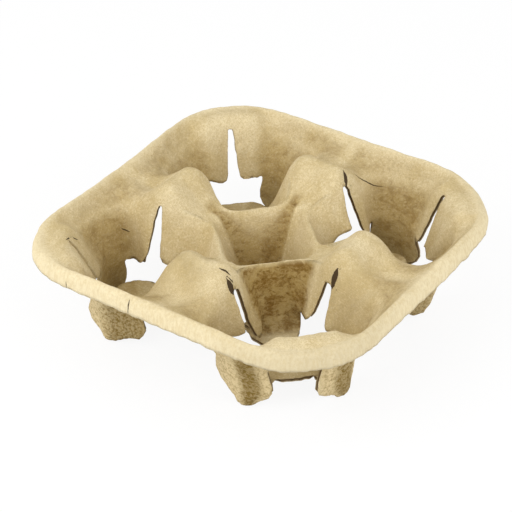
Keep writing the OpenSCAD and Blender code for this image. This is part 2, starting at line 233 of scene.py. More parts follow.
def rolled_rim(place, crest_z, roll_steps):
    """Rolled rim: a quarter turn from the crest to the lip's edge, its sine outwards and its cosine down,
    each to the same power."""
    turn = np.radians(90) * roll_steps
    out, drop = np.sin(turn) ** RIM_POWER, 1 - np.cos(turn) ** RIM_POWER
    inside, outside = outline(place, CREST_AT, CREST_CORNER), outline(place, HALF_W, CORNER_R)
    plan = mix(inside[:, None], outside[:, None], out[:, None])
    z = mix(crest_z[:, None], RIM_Z - LIP_DROP, drop)
    return np.concatenate([plan, z[..., None]], -1)


def eighth(place, cup_steps, deck_steps, roll_steps):
    """One eighth of the sheet: for each place, the cup's knots joined by a smooth curve, then the deck as a
    cubic from the mouth to the rim's crest or the ridge's middle, then the rolled rim."""
    corner, inner, on_rim = place < POCKET_MID, place > SIDE_SLIT, place <= RIM_PLACE
    apart = np.where(corner, place, np.where(place < SIDE_SLIT, SIDE_SLIT - place, place - SIDE_SLIT))
    across = np.where(corner, 1, -1) * along(apart, POCKET_MID, POCKET_EDGE)
    back = np.sqrt(across ** 2 + 0.01) - 0.1
    h = heading(place)
    line = np.where(inner, 1 / np.cos(np.radians(180 - h)), 1)
    side_line = 1 / np.cos(np.radians(np.clip(h - 45, -60, 60)))
    recess = np.where(corner, curve(apart, RECESS_CORNER), curve(apart, RECESS_SIDE))
    recess = np.where(inner, curve(apart, RECESS_INNER), recess)
    panel = np.where(inner, curve(apart, PANEL), 0)
    floor_r = curve(h, FLOOR_EDGE)

    # Far edge of the deck: the rim's crest, or the middle of the ridge towards the next cup
    rim_h = heading(RIM_PLACE)
    ridge_h = SIDE_MID + (h - rim_h) * (180 - SIDE_MID) / (180 - rim_h)
    ridge_y = CUP_AT + CUP_AT * np.tan(np.radians(135 - ridge_h))
    ridge_y[-1] = 0
    ridge_plan = np.stack([0 * place, ridge_y], -1)
    edge = np.where(on_rim[:, None], outline(place, CREST_AT, CREST_CORNER), ridge_plan)
    edge[np.argmin(np.abs(place - RIM_PLACE)), 0] = 0
    crest_z = RIM_Z - CORNER_SAG * curve(place, SAG)
    edge_z = np.where(on_rim, crest_z, ridge_height(ridge_y))
    edge_r = np.hypot(edge[:, 0] - CUP_AT, edge[:, 1] - CUP_AT)

    # Cup, from the floor's middle to the mouth
    pocket_r = (POCKET_D - PROW * np.minimum(back, 1)) * side_line
    low_r = mix(FLAP_R, np.where(inner, PANEL_MID_R * line, pocket_r), recess)
    rise = np.where(corner, FLAP_RISE, 0) * curve(apart, FLAP_LIFT)
    straight = STRAIGHT_SHARE * curve(h, STRAIGHT)
    mouth_r = mix(curve(h, MOUTH_RADIUS), PANEL_TOP_R * line, panel)
    mouth_z = mix(curve(h, MOUTH_HEIGHT), WELL_LIP_Z - WALL / 2, panel)
    mouth_r = mix(mouth_r, mix(low_r, edge_r, STRAIGHT_MOUTH), straight)
    mouth_z = mix(mouth_z, mix(FLAP_Z, edge_z, STRAIGHT_MOUTH), straight)
    knots = [polar(share * floor_r, h, FLOOR_Z) for share in (0, 0.55, 1)]
    feet = foot_knots(h, apart, across, back, floor_r)
    knots += [np.where(inner[:, None], flat, foot) for flat, foot in zip(panel_knots(h, line), feet)]
    for t in (0, 1 / 3, 2 / 3, 1):
        knots.append(polar(mix(low_r, mouth_r, t), h, mix(FLAP_Z + rise, mouth_z, t)))
    cup = through(np.stack(knots, 1), cup_steps)

    # Deck, from the mouth to its far edge
    mouth = cup[:, -1]
    t = deck_steps[None, :]
    plan = mix(mouth[:, None, :2], edge[:, None], t[..., None])
    run = np.hypot(edge[:, 0] - mouth[:, 0], edge[:, 1] - mouth[:, 1])
    lean = (RIM_Z - FLAP_Z) / np.maximum(edge_r - low_r, LEAN_LEAST)
    steep = mix(curve(h, STEEP), lean, straight)
    end_slope = mix(curve(h, END_SLOPE), lean, straight)
    fall = np.where(on_rim, 0, ridge_height(ridge_y + 0.5) - ridge_height(ridge_y - 0.5))
    end_rise = np.where(on_rim, end_slope * run, fall * (edge[:, 1] - mouth[:, 1]))[:, None]
    z = mix(mouth[:, 2:], edge_z[:, None], (3 - 2 * t) * t * t)
    z = z + (steep * run)[:, None] * t * (1 - t) ** 2 - end_rise * t * t * (1 - t)
    z = mix(z, well_height(plan[..., 0], plan[..., 1]), panel[:, None])
    deck = np.concatenate([plan, z[..., None]], -1)
    return np.concatenate([cup, deck, rolled_rim(place, crest_z, roll_steps)], 1)


def blur(columns_of_points, width):
    """Average along axis 0 with a bell of the given width in columns; the ends see their mirror image."""
    p = columns_of_points
    reach = int(3 * width)
    bell = np.exp(-0.5 * (np.arange(-reach, reach + 1) / width) ** 2)
    bell /= bell.sum()
    longer = np.concatenate([swap_xy(p[reach:0:-1]), p, swap_xy(p[-2:-reach - 2:-1])], 0)
    return sum(share * longer[k:k + len(p)] for k, share in enumerate(bell))


def sheet_normals(p):
    """Normals of the eighth: cross product of the steps up and around, with mirrored neighbours at the
    planes of symmetry, and no part across those planes."""
    longer = np.concatenate([swap_xy(p[1:2]), p, swap_xy(p[-2:-1])], 0)
    around = longer[2:] - longer[:-2]
    above = np.concatenate([p[:, 1:], p[:, -1:]], 1)
    below = np.concatenate([p[:, :1], p[:, :-1]], 1)
    above[RIM_COLUMN + 1:, EDGE_STEP] = p[RIM_COLUMN + 1:, EDGE_STEP - 1] * (-1, 1, 1)
    normal = unit(np.cross(above - below, around))
    normal[:, 0] = (0, 0, 1)
    normal[RIM_COLUMN:, EDGE_STEP, 0] = 0
    normal[RIM_COLUMN, EDGE_STEP:, 0] = 0
    for end in (0, -1):
        normal[end, :, :2] = ((normal[end, :, 0] + normal[end, :, 1]) / 2)[:, None]
    normal[-1, EDGE_STEP] = (0, 0, 1)
    return unit(normal)


# Grid of one eighth: places around the cup, then steps over the cup, the deck and the rim
PANEL_MID_R = mix(PANEL_R, PANEL_TOP_R, along(FLAP_Z, FLOOR_Z, WELL_LIP_Z))
PLACES = np.concatenate([np.linspace(0, RIM_PLACE, 58), np.linspace(RIM_PLACE, 180, 43)[1:]])
FOOT_STEPS = np.linspace(FLOOR_LEVEL, FLAP_LEVEL, 19)[1:]
FLAP_STEPS = np.linspace(FLAP_LEVEL, MOUTH_LEVEL, 11)[1:]
CUP_STEPS = np.concatenate([[0, 0.6, 1.2, 1.7, FLOOR_LEVEL], FOOT_STEPS, FLAP_STEPS])
DECK_STEPS = np.linspace(0, 1, 17)[1:]
ROLL_STEPS = np.linspace(0, 1, 13)[1:] ** 1.2
EDGE_STEP = len(CUP_STEPS) + len(DECK_STEPS) - 1
RIM_COLUMN = int(np.argmin(np.abs(PLACES - RIM_PLACE)))
BLUR_WIDTH = 1.2

grid = eighth(PLACES, CUP_STEPS, DECK_STEPS, ROLL_STEPS)
deck_levels = MOUTH_LEVEL + DECK_STEPS * (CREST_LEVEL - MOUTH_LEVEL)
level = np.concatenate([CUP_STEPS, deck_levels, CREST_LEVEL + ROLL_STEPS])
below_crest = np.clip((CREST_LEVEL - level) / 2.0, 0, 1)[None, :, None]
grid = mix(grid, blur(grid, BLUR_WIDTH), below_crest)
grid[:, 0] = (CUP_AT, CUP_AT, FLOOR_Z)
normal = sheet_normals(grid)

# A whole cell: signed places from -180 to 180
signed = np.concatenate([-PLACES[:0:-1], PLACES])
cell_points = np.concatenate([swap_xy(grid[:0:-1]), grid], 0)
cell_normals = np.concatenate([swap_xy(normal[:0:-1]), normal], 0)
columns, rows = cell_points.shape[:2]

# The cells as signs of x and y, and their numbers by where the photo shows them
CELL_ORDER = ((1, 1), (-1, 1), (-1, -1), (1, -1))
RIGHT_CELL, BACK_CELL, LEFT_CELL, FRONT_CELL = 0, 1, 2, 3

# Openings of a plain cell. Each slit: shift of its middle in mm, width at the flap tips, width at its top,
# level of its top. Edges: how far each opening reaches from its slit, from place -180 to 180, in degrees.
# Slant: how much further it reaches at the soles than at the flaps
PLAIN = {
    "corner": (0.0, 8.0, 3.2, 12.3),
    "plus": (0.0, 8.8, 2.6, 11.6),
    "minus": (0.0, 8.8, 2.6, 11.6),
    "edges": (40, 36, 38, 38, 36, 40),
    "slant": (0, 3, 5, 5, 3, 0),
}
# Openings of each cell, where they differ
CELLS = {
    (1, 1): {
        "plus": (2.6, 12.6, 4.0, 11.0), "corner": (6.4, 5.4, 2.4, 12.0),
        "edges": (40, 36, 36, 35, 37, 50)},
    (-1, 1): {"corner": (-0.7, 8.0, 3.2, 11.5), "edges": (40, 36, 46, 44, 36, 40)},
    (-1, -1): {"minus": (0.5, 8.8, 2.6, 11.0), "edges": (40, 45, 34, 34, 33, 40)},
    (1, -1): {
        "plus": (-0.7, 13.0, 5.8, 10.7), "minus": (-1.5, 10.4, 4.8, 10.3),
        "edges": (40, 36, 33, 38, 36, 27)},
}
OPENING_AT = (-120, -120, 0, 0, 120, 120)
SLITS = (("corner", 0.0), ("plus", SLIT_DIR), ("minus", -SLIT_DIR))
# Lengths on the sheet in mm: of one degree of place, and of one level beside an opening and at a slit's top
PLACE_MM, LEVEL_MM, SLIT_TOP_MM = 0.75, 4.5, 5
SLANT_FROM, SLANT_OVER = 7.5, 3.2
# Rounding in mm of an opening's corners, a slit's top and their joins, and how rough the cut edge is
OPENING_ROUND, SLIT_ROUND, JOIN_ROUND, EDGE_ROUGH = 2.0, 1.0, 3.0, 0.6
# Level where the slits begin, and depths that stand for no opening and no slit
SLIT_LEVEL, NO_OPENING, NO_SLIT = 4, -999, -9

# Bent parts of each cell: place and its spread, levels with their share, and the move in millimetres
FOOT_LEVELS = ((2, 0), (4.5, 1), (8, 1), (12, 0))
LOW_LEVELS = ((2, 0), (4, 1), (6, 0.6), (8, 0))
TOP_LEVELS = ((3, 0), (5, 0.4), (7, 1), (9, 1), (12.5, 0))
TIP_LEVELS = ((6, 0), (8, 1), (11, 0))
EDGE_LEVELS = ((6, 0), (8, 1), (10, 1), (12.5, 0))
PUSHES = {
    (1, 1): [
        (-60, 26, TOP_LEVELS, (4.6, 3.1, 0)), (22, 14, TIP_LEVELS, (0, 0, -5)),
        (-20, 14, TIP_LEVELS, (0, 0, -3.5)), (146, 16, TIP_LEVELS, (0, 0, 9))],
    (-1, 1): [(-24, 14, TIP_LEVELS, (0, 0, -3)), (24, 14, TIP_LEVELS, (0, 0, -1.5))],
    (-1, -1): [
        (60, 26, FOOT_LEVELS, (-11, 0.5, 0)), (60, 26, LOW_LEVELS, (-2, 0, 0)),
        (84, 16, EDGE_LEVELS, (-2, 0, 0)), (-84, 13, TIP_LEVELS, (0, 0, -8))],
    (1, -1): [
        (60, 26, FOOT_LEVELS, (-3.5, -3.5, 0)), (60, 26, LOW_LEVELS, (4, 0, 0)),
        (-60, 26, LOW_LEVELS, (0, 2, 0)), (84, 16, EDGE_LEVELS, (-4, 0, 0)),
        (-60, 26, FOOT_LEVELS, (3.4, -3.6, 0)), (98, 18, TIP_LEVELS, (0, 0, 4)),
        (134, 15, TIP_LEVELS, (-1.5, 0.8, -10))],
}
# Bends of the rim: middle, spread along x and y, move; they fade out between two heights
BENDS = [
    ((105, 25), (12, 40), (2.6, 0, 0)),
    ((-90, -90), (22, 22), (-2.4, -0.6, 0)),
    ((84, -84), (20, 20), (0, 0, 1.6)),
    ((92, 92), (20, 20), (-1, -0.6, 0)),
    ((-88, 88), (26, 26), (0, 0, 1.8)),
    ((-100, -20), (16, 45), (1.7, 0, -0.8)),
]
BEND_LOW_Z, BEND_HIGH_Z = 40, 52


def smooth_min(a, b, radius):
    """Smaller of two distances, with the corner between them rounded by the radius."""
    t = np.clip(0.5 + 0.5 * (b - a) / radius, 0, 1)
    return mix(b, a, t) - radius * t * (1 - t)


def waves(p, size, seed):
    """Smooth noise, mostly between -1 and 1: a quarter of the sum of eight sine waves in random ways."""
    draw = np.random.RandomState(seed)
    ways = unit(draw.normal(size=(8, 3))) * (2 * math.pi / size) * draw.uniform(0.6, 1.6, (8, 1))
    return np.sin(p @ ways.T + draw.uniform(0, 6.28, 8)).sum(-1) / 4


def pushed(p, cell):
    """The cell's points with its bent parts moved: each a flat bell over the place, cut off at 0, times
    straight lines over the level."""
    mirror = np.array([*cell, 1.0])
    for place, spread_of, levels_of, move in PUSHES[cell]:
        bell = np.clip(1.02 * np.exp(-0.5 * ((signed - place) / spread_of) ** 4) - 0.02, 0, 1)
        share = bell[:, None] * window(level, levels_of)
        p = p + share[..., None] * (np.array(move) * mirror)
    return p


def bent(p):
    """Points with the rim's bends added: each a bell in plan, eased in above the flaps."""
    high = ease(along(p[:, 2:], BEND_LOW_Z, BEND_HIGH_Z))
    for middle_of, spread_of, move in BENDS:
        share = np.exp(-0.5 * (((p[:, :2] - middle_of) / spread_of) ** 2).sum(1))[:, None]
        p = p + share * high * np.array(move)
    return p


def holes(p, cell, seed):
    """Distance into the pulp from the nearest slit or opening, in millimetres, below 0 in the openings: the
    smooth least distance to an opening's sides, joined to each slit's, with an edge roughened by noise."""
    spec = {**PLAIN, **CELLS[cell]}
    place = signed[:, None]
    height = level[None, :]
    rough = waves(p, 9.0, seed) * 0.5 + waves(p, 3.5, seed + 1) * 0.3
    gap = place + 0 * height + NO_OPENING
    taper = np.clip((SLANT_FROM - height) / SLANT_OVER, 0, 1)
    for k in (0, 2, 4):
        off = place - OPENING_AT[k]
        first, last = (spec["edges"][end] + spec["slant"][end] * taper for end in (k, k + 1))
        gap = np.maximum(gap, np.minimum(first + off, last - off))
    above_floor = (height - FLOOR_LEVEL) * LEVEL_MM + 0 * place
    below_flap = (FLAP_LEVEL - height) * LEVEL_MM + 0 * place
    hole = smooth_min(gap * PLACE_MM, above_floor, OPENING_ROUND)
    hole = smooth_min(hole, below_flap, OPENING_ROUND)
    dx, dy = p[..., 0] - CUP_AT, p[..., 1] - CUP_AT
    for name, direction in SLITS:
        shift, low_width, top_width, top = spec[name]
        turn = math.radians(45 + direction)
        sideways = -dx * math.sin(turn) + dy * math.cos(turn)
        ahead = dx * math.cos(turn) + dy * math.sin(turn)
        half = mix(low_width, top_width, np.clip(along(height, FLAP_LEVEL, top), 0, 1)) / 2
        cut = smooth_min(half - np.abs(sideways - shift), (top - height) * SLIT_TOP_MM, SLIT_ROUND)
        cut = np.where((ahead > 0) & (height > SLIT_LEVEL), cut, NO_SLIT)
        hole = -smooth_min(-hole, -cut, JOIN_ROUND)
    return -hole + rough * EDGE_ROUGH


def clip(tris, depth, arrays):
    """Cut triangles along depth 0 and keep the side above it. A cut point divides its edge in the ratio of
    the depths at its ends, and neighbours share it."""
    inside = depth[tris] > 0
    count = inside.sum(1)
    total = len(depth)
    parts = []
    for number in (1, 2):
        some, sides = tris[count == number], inside[count == number]
        odd = np.argmax(sides if number == 1 else ~sides, axis=1)
        parts.append(np.take_along_axis(some, (odd[:, None] + np.arange(3)) % 3, 1))
    one, two = parts
    pairs = np.sort(np.concatenate([part[:, [0, other]] for part in parts for other in (1, 2)]), 1)
    key, place_of = np.unique(pairs[:, 0] * total + pairs[:, 1], return_inverse=True)
    a, b = key // total, key % total
    share = depth[a] / (depth[a] - depth[b])
    arrays = [np.concatenate([v, mix(v[a], v[b], share[:, None] if v.ndim > 1 else share)]) for v in arrays]
    ends = np.cumsum([len(one), len(one), len(two)])
    one_first, one_second, two_first, two_second = np.split(total + place_of, ends)
    kept = [
        tris[count == 3],
        np.stack([one[:, 0], one_first, one_second], 1),
        np.stack([two_first, two[:, 1], two[:, 2]], 1),
        np.stack([two_first, two[:, 2], two_second], 1)]
    return np.concatenate(kept), arrays


def cell_triangles():
    """Two triangles for each square of the cell's grid, with mirrored diagonals in its two halves; the
    rim's rows are left out beside the ridges."""
    j, i = np.meshgrid(np.arange(columns - 1), np.arange(rows - 1), indexing="ij")
    half = len(PLACES) - 1
    use = (i < EDGE_STEP) | (np.abs(j + 0.5 - half) < RIM_COLUMN)
    j, i = j[use], i[use]
    v0, v1 = j * rows + i, (j + 1) * rows + i
    v2, v3 = v1 + 1, v0 + 1
    mirrored = (j < half)[:, None]
    return np.concatenate([
        np.where(mirrored, np.stack([v0, v1, v3], 1), np.stack([v0, v1, v2], 1)),
        np.where(mirrored, np.stack([v1, v2, v3], 1), np.stack([v0, v2, v3], 1))])


# Lengths along the sheet, for the wire marks: around the cup and up from its floor
run_up = np.linalg.norm(np.diff(cell_points, axis=1), axis=-1)
run_up = np.concatenate([np.zeros((columns, 1)), np.cumsum(run_up, 1)], 1)
from_axis = np.hypot(cell_points[..., 0] - CUP_AT, cell_points[..., 1] - CUP_AT)
run_round = np.radians(np.sign(signed) * heading(np.abs(signed)))[:, None] * from_axis

# Four cells, each cut, bent and mirrored
quads = cell_triangles()
plain_values = [
    cell_normals.reshape(-1, 3),
    np.broadcast_to(level, (columns, rows)).ravel(),
    np.broadcast_to(signed[:, None], (columns, rows)).ravel(),
    np.stack([run_round, run_up], -1).reshape(-1, 2)]
whole, faces, start = [], [], 0
for number, cell in enumerate(CELL_ORDER):
    depth = holes(cell_points, cell, 10 * number + 3).ravel()
    tris, values = clip(quads, depth, [pushed(cell_points, cell).reshape(-1, 3), *plain_values])
    mirror = np.array([*cell, 1.0])
    values[0] = values[0] * mirror
    values[1] = unit(values[1]) * mirror
    whole.append([*values, np.full(len(values[0]), number)])
    faces.append((tris if cell[0] * cell[1] > 0 else tris[:, ::-1]) + start)
    start += len(values[0])
whole = [np.concatenate(v) for v in zip(*whole)]
faces = np.concatenate(faces)

# Weld the seams, by places rounded to a small step, and drop what the cuts left unused
WELD_STEPS, WELD_SPAN = 2000, 2 ** 20
key = np.round(whole[0] * WELD_STEPS).astype(np.int64) + WELD_SPAN // 2
key = (key[:, 0] * WELD_SPAN + key[:, 1]) * WELD_SPAN + key[:, 2]
_, first, inverse = np.unique(key, return_index=True, return_inverse=True)
faces = inverse[faces]
good = (faces[:, 0] != faces[:, 1]) & (faces[:, 1] != faces[:, 2]) & (faces[:, 2] != faces[:, 0])
used, faces = np.unique(faces[good], return_inverse=True)
faces = faces.reshape(-1, 3)
points, normals, levels, places, wires, cells = (v[first][used] for v in whole)
points = bent(points)
count_top = len(points)

# Uneven sheet: slow swells and small lumps along the normal, puckers along the lip's lower edge
FRONT, FRONT_SPREAD = np.array([74.0, -74.0]), 24
near_front = np.exp(-0.5 * (((points[:, :2] - FRONT) / FRONT_SPREAD) ** 2).sum(1))
on_rim_side = window(np.abs(places), ((RIM_PLACE, 1), (RIM_PLACE + 4, 0)))
on_rim_side = np.maximum(on_rim_side, levels > CREST_LEVEL + 0.02)
# Share of the lip band, which the colour paints paler as a highlight
lip_share = window(levels, ((15.4, 0), (16.5, 1))) * on_rim_side
hem = window(levels, ((16.35, 0), (16.8, 1)))
swell = 0.34 * waves(points, 26, 91) + 0.16 * waves(points, 9, 92) + 0.07 * waves(points, 4.5, 93)
pucker = waves(points * (1, 1, 0.12), 6.5, 94) * hem * (0.25 + 0.75 * near_front)
points = points + normals * (swell + 0.75 * pucker)[:, None]
points[:, 2] += hem * (0.35 * waves(points, 11, 95) + 0.25 * waves(points, 5, 96))

# Underside: one wall below the top face, with lumps on the feet, and nothing below the table
across_pocket = np.abs(np.abs(places) - POCKET_MID)
foot_share = window(across_pocket, ((20, 1), (27, 0))) * window(levels, ((2.5, 0), (4, 1), (9, 1), (11, 0)))
lumps = 0.3 * waves(points, 5, 97) + 0.28 * waves(points, 2.6, 98)
under = points - normals * (WALL + foot_share * lumps)[:, None]
under[:, 2] = np.maximum(under[:, 2], 0)

# Free edges, used by one triangle only, and their rounded cut: a middle row pushed outwards
EDGE_BULGE = 0.3
edges = np.concatenate([faces[:, [0, 1]], faces[:, [1, 2]], faces[:, [2, 0]]])
key = np.sort(edges, 1) @ np.array([count_top, 1])
_, first, count = np.unique(key, return_index=True, return_counts=True)
free = edges[first[count == 1]]
rim_ids, rim_place = np.unique(free, return_inverse=True)
rim_place = rim_place.reshape(free.shape)
a, b = free[:, 0], free[:, 1]
sideways = np.cross(points[b] - points[a], normals[a])
outwards = np.zeros((len(rim_ids), 3))
np.add.at(outwards, rim_place[:, 0], sideways)
np.add.at(outwards, rim_place[:, 1], sideways)
middle = (points[rim_ids] + under[rim_ids]) / 2 + unit(outwards) * WALL * EDGE_BULGE
middle_a, middle_b = 2 * count_top + rim_place[:, 0], 2 * count_top + rim_place[:, 1]
walls = np.concatenate([
    np.stack([b, a, middle_a], 1),
    np.stack([b, middle_a, middle_b], 1),
    np.stack([middle_b, middle_a, a + count_top], 1),
    np.stack([middle_b, a + count_top, b + count_top], 1)])
vertices = np.concatenate([points, under, middle]) / 1000
triangles = np.concatenate([faces, faces[:, ::-1] + count_top, walls])

mesh = bpy.data.meshes.new("carrier_pulp")
mesh.vertices.add(len(vertices))
mesh.vertices.foreach_set("co", vertices.astype(np.float32).ravel())
mesh.loops.add(len(triangles) * 3)
mesh.loops.foreach_set("vertex_index", triangles.astype(np.int32).ravel())
mesh.polygons.add(len(triangles))
mesh.polygons.foreach_set("loop_start", np.arange(0, len(triangles) * 3, 3, dtype=np.int32))
mesh.polygons.foreach_set("use_smooth", np.ones(len(triangles), bool))
mesh.update(calc_edges=True)
mesh.validate()
pulp = bpy.data.objects.new("carrier_pulp", mesh)
bpy.context.scene.collection.objects.link(pulp)


def attribute(name, top, below, edge):
    """Where a look lies, as a value of each vertex: top face, underside, then the cut edge's middle row."""
    values = [top + np.zeros(count_top), below + np.zeros(count_top), edge + np.zeros(len(rim_ids))]
    data = mesh.attributes.new(name, "FLOAT", "POINT").data
    data.foreach_set("value", np.concatenate(values).astype(np.float32))


# Stain on the front pocket's panel and painted shade at the bottom of the well's back;
# dirt with painted shade in the pockets, and painted shade in the valley inside the rim
panel_share = window(180 - np.abs(places), ((24, 1), (33, 0)))
stain_levels = window(levels, ((4, 0), (6, 0.8), (7.5, 1), (10.7, 1), (11.2, 0)))
front_panel = (cells == FRONT_CELL) * panel_share * stain_levels
# Painted shade: the back cell's side of the well, darkest low in the well towards its middle
well_bottom_shade = (cells == BACK_CELL) * panel_share * window(levels, ((12, 0), (13, 0.7), (14, 1), (16, 1)))
well_bottom_shade = well_bottom_shade * window(np.abs(points[:, :2]).min(1), ((0, 0.2), (1.8, 1)))
pocket_levels = window(levels, ((4, 0.5), (7, 1), (11, 0.9), (13, 0)))
pocket = window(across_pocket, ((16, 1), (30, 0))) * pocket_levels
# Painted shade in the valley just inside the rim, strongest towards the middle of each side
valley_shade = window(levels, ((12.4, 0), (13.4, 1), (14.6, 1), (15.6, 0)))
valley_shade = valley_shade * window(np.abs(places), ((40, 0.2), (82, 1), (100, 1), (112, 0)))
# Pockets darkened by dirt with painted shade, by a share for each cell
POCKET_DIRT_AND_SHADE = [1.0, 0.7, 0.85, 0.6]
pocket_dirt_and_shade = np.maximum(np.choose(cells, POCKET_DIRT_AND_SHADE) * pocket, 0.55 * valley_shade)
attribute("stain_and_shade", np.maximum(front_panel, 0.72 * well_bottom_shade), 0, 0.3)
attribute("dirt_and_shade", pocket_dirt_and_shade, 0.25 * foot_share, 0.4)
attribute("stipple", 0, foot_share, 0.5)
# Where the painted shade low down is left off: the front panel below the mouth and the underside, half on
# the cut edges
attribute("unshaded", panel_share * (cells == FRONT_CELL) * (levels < MOUTH_LEVEL), 1, 0.5)

# Cut edges darkened with painted shade, paler at the closed slit and on the lip
LIP_LEVEL = 16.5
on_edge = np.zeros(count_top)
on_edge[rim_ids] = 1
closed_slit = (cells == LEFT_CELL) * window(np.abs(places), ((30, 1), (38, 0)))
edge_shade = (levels < LIP_LEVEL) * (1 - 0.8 * closed_slit)
beside_edge_shade = 0.4 * on_edge * edge_shade
attribute("cut", beside_edge_shade, beside_edge_shade, np.maximum(edge_shade[rim_ids], 0.25))
# Lip band painted paler as a highlight; greyer at the front with dirt and painted shadow of the puckers
attribute("lip", lip_share, 0, 0.5 * (levels[rim_ids] > LIP_LEVEL))
attribute("front_dirt_and_shadow", near_front * lip_share, 0, near_front[rim_ids])

# Where the mould's wire mesh has left its print: middle, spread and share of each patch
WIRE_PATCHES = [
    ((-6, -62, 58), 11, 1.0), ((4, -80, 44), 9, 0.6), ((70, -18, 45), 12, 0.8), ((-12, 66, 58), 12, 0.5)]
wire_share = sum(
    share * np.exp(-0.5 * (((points - at) / size) ** 2).sum(1)) for at, size, share in WIRE_PATCHES)
attribute("wire", np.minimum(wire_share, 1), 0, 0)
attribute("wire_u", wires[:, 0], 0, 0)
attribute("wire_v", wires[:, 1], 0, 0)

# Brown faces of the feet, partly brown stain and partly painted shade on the side away from the light:
# cell, place, spread and share
FOOT_BROWN_AND_SHADE = [
    (LEFT_CELL, 76, 14, 1.0), (FRONT_CELL, 52, 6, 1.3), (FRONT_CELL, -57, 8, 1.1),
    (RIGHT_CELL, -74, 14, 0.8)]
brown_and_shade_share = sum(
    share * (cells == cell) * np.exp(-0.5 * ((places - at) / size) ** 4)
    for cell, at, size, share in FOOT_BROWN_AND_SHADE)
attribute("brown_and_shade", 0, brown_and_shade_share * window(levels, ((3, 0.6), (4.5, 1), (9.5, 1), (12, 0))), 0)

# Cracks, creases and dark slit ends, all drawn dark; the dark in the creases and at the slit ends is
# painted shade: the two ends in millimetres and half the width
CRACKS_AND_SHADOWS = [
    ((-58.1, -104.7, 56.8), (-57.8, -105.1, 52.2), 0.30),
    ((-16.0, -102.8, 61.0), (-16.1, -105.0, 52.5), 0.42),
    ((-79.3, -78.7, 60.4), (-81.2, -72.3, 58.0), 0.50),
    ((-81.2, -72.3, 58.0), (-81.5, -66.5, 52.5), 0.45),
    ((-82.6, -27.3, 38.0), (-78.1, -24.6, 35.4), 0.40),
    ((14.3, 71.3, 58.9), (28.2, 87.0, 45.7), 0.40),
    ((11.5, -60.7, 66.9), (17.0, -58.5, 63.2), 0.62),
    ((17.6, -61.7, 62.0), (21.4, -62.2, 54.4), 2.0),
    ((59.8, -18.8, 60.4), (59.3, -22.8, 50.4), 1.8),
    ((70.7, 81.2, 55.8), (68.7, 79.5, 50.4), 0.55),
    ((14.8, 61.0, 64.9), (19.2, 56.7, 58.6), 1.4),
]
CRACK_REACH, CRACK_FADE, NO_CRACK = 5, 4.2, 9.0


def crack_and_shadow_fields():
    """For each point of the top face, the signed distance across the nearest crack or painted shadow line,
    in the plane that faces its middle, and that line's half width there, which tapers towards its ends and
    fades away from it."""
    distance, half_width = np.full(count_top, NO_CRACK), np.zeros(count_top)
    for begin, end, wide in CRACKS_AND_SHADOWS:
        begin, end = np.array(begin), np.array(end)
        facing = normals[np.argmin(((points - (begin + end) / 2) ** 2).sum(1))]
        length = np.linalg.norm(end - begin)
        ahead = (end - begin) / length
        beside = unit(np.cross(ahead, facing))
        from_begin = points - begin
        share, far, off = from_begin @ ahead / length, from_begin @ beside, from_begin @ facing
        mine = np.abs(far) < np.minimum(np.abs(distance), CRACK_REACH)
        mine = mine & (np.abs(off) < CRACK_REACH) & (np.abs(share - 0.5) < 0.5 + 2.5 / length)
        taper = np.clip(1.25 - 2.5 * np.abs(share - 0.5) ** 1.5, 0, 1)
        taper = taper * np.clip((CRACK_FADE - np.abs(far)) / 1.2, 0, 1)
        distance[mine] = far[mine]
        half_width[mine] = (wide * taper)[mine]
    return distance, half_width


crack_and_shadow_far, crack_and_shadow_wide = crack_and_shadow_fields()
attribute("crack_and_shadow", crack_and_shadow_far, NO_CRACK, NO_CRACK)
attribute("crack_and_shadow_wide", crack_and_shadow_wide, 0, 0)


class Graph:
    """Short hand for one node tree: each call adds nodes, sets or links inputs and gives an output."""

    def __init__(self, tree):
        self.tree = tree

    def add(self, kind, inputs, output=0, **settings):
        """A new node of the kind, with its settings and inputs; an input that is a socket is linked."""
        node = self.tree.nodes.new(kind)
        for name, value in settings.items():
            setattr(node, name, value)
        for name, value in inputs.items():
            if isinstance(value, bpy.types.NodeSocket):
                self.tree.links.new(value, node.inputs[name])
            else:
                node.inputs[name].default_value = value
        return node.outputs[output]

    def math(self, operation, a, b=0.0):
        """One sum of two values."""
        return self.add("ShaderNodeMath", {0: a, 1: b}, operation=operation)

    def times(self, a, b):
        """Product of two values."""
        return self.math("MULTIPLY", a, b)

    def plus(self, a, b):
        """Sum of two values."""
        return self.math("ADD", a, b)

    def noise(self, vector, scale, detail=4.0, rough=0.6, twist=0.0):
        """Cloudy noise between 0 and 1."""
        values = {"Vector": vector, "Scale": scale, "Detail": detail}
        return self.add("ShaderNodeTexNoise", {**values, "Roughness": rough, "Distortion": twist})

    def step(self, value, low, high, a=0.0, b=1.0):
        """Smooth step of the value from low to high, as a share from a to b."""
        values = {"Value": value, "From Min": low, "From Max": high, "To Min": a, "To Max": b}
        return self.add("ShaderNodeMapRange", values, interpolation_type="SMOOTHSTEP")

    def blend(self, share, a, b):
        """Colour a, with a share of colour b."""
        return self.add("ShaderNodeMix", {0: share, 6: a, 7: b}, 2, data_type="RGBA")

    def mark(self, name):
        """A value of the mesh's vertices."""
        return self.add("ShaderNodeAttribute", {}, 2, attribute_name=name)

    def seen(self):
        """1 for rays from the camera, off gloss or through glass, else 0: the greatest of the three."""
        path = self.add("ShaderNodeLightPath", {}).node
        share = self.math("MAXIMUM", path.outputs["Is Camera Ray"], path.outputs["Is Glossy Ray"])
        return self.math("MAXIMUM", share, path.outputs["Is Transmission Ray"])


FLOAT, VECTOR = "NodeSocketFloat", "NodeSocketVector"


def group(name, ins, outs):
    """New shader node group with the given inputs and outputs, each a name and a kind of socket."""
    tree = bpy.data.node_groups.new(name, "ShaderNodeTree")
    for key_name, kind in ins:
        tree.interface.new_socket(key_name, in_out="INPUT", socket_type=kind)
    for key_name, kind in outs:
        tree.interface.new_socket(key_name, in_out="OUTPUT", socket_type=kind)
    return tree, tree.nodes.new("NodeGroupInput").outputs, tree.nodes.new("NodeGroupOutput").inputs


